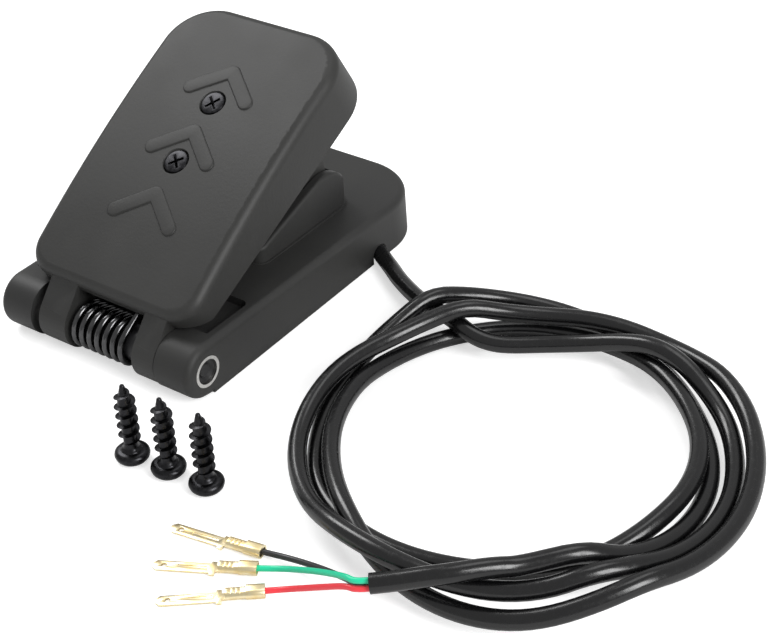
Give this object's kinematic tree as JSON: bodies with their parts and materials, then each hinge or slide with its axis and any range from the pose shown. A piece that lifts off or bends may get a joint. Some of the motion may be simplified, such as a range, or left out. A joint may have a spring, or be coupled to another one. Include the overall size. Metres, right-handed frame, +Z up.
{
  "type": "foot throttle pedal",
  "caption": "Foot throttle pedal: a spring-returned treadle with moulded chevrons hinged on a flat base box, sensing pedal angle, with a coiled three-core cable ending in tab terminals",
  "frame": {"origin": "on the underside, at the centre of the three mounting holes", "axes": "+Z up, +Y from the hinge towards the toe end, +X along the hinge towards the side where the cable leaves"},
  "size_m": [0.1951, 0.1571, 0.0618],
  "materials": {
    "housing_plastic": "spark-eroded moulding texture",
    "pedal_plastic": "spark-eroded moulding texture",
    "black_steel": "black oxide",
    "nickel_steel": "nickel plated tube",
    "plug_plastic": "moulded",
    "sleeve_plastic": "moulded",
    "spring_steel": "drawn wire",
    "magnet_nickel": "nickel plated",
    "board_laminate": "solder mask",
    "chip_resin": "moulded resin",
    "pad_rubber": null,
    "cable_sheath": "extruded PVC",
    "clamp_steel": null,
    "lead_insulation": "extruded PVC",
    "core_black": "extruded PVC",
    "core_green": "extruded PVC",
    "core_red": "extruded PVC",
    "tab_brass": "stamped, plated"
  },
  "bodies": {
    "base": {"base_housing": "housing_plastic", "bottom_cover": "housing_plastic", "cover_screws": "black_steel", "clamp_screws": "black_steel", "mounting_screws": "black_steel", "hinge_tube": "nickel_steel", "tube_plug_left": "plug_plastic", "tube_plug_right": "plug_plastic", "spring_sleeve": "sleeve_plastic", "return_spring": "spring_steel", "sensor_board": "board_laminate", "hall_sensor": "chip_resin", "board_components": "chip_resin", "stop_pads": "pad_rubber", "cable_entry": "cable_sheath", "cable": "cable_sheath", "cable_clamp": "clamp_steel", "board_leads": "lead_insulation", "wire_black": "core_black", "wire_green": "core_green", "wire_red": "core_red", "terminal_black": "tab_brass", "terminal_green": "tab_brass", "terminal_red": "tab_brass"},
    "pedal": {"pedal_plate": "pedal_plastic", "magnet_arm": "pedal_plastic", "magnet_lower": "magnet_nickel", "magnet_upper": "magnet_nickel", "pedal_screws": "black_steel"}
  },
  "joints": [
    {"name": "pedal_hinge", "type": "hinge", "parent": "base", "child": "pedal", "pos_m": [0, -0.064, 0.0072], "axis": [-1, 0, 0], "range_deg": [0, 18], "stiffness_Nm_per_rad": 0.9, "springref_deg": -20.05, "deforming": ["return_spring"]}
  ]
}
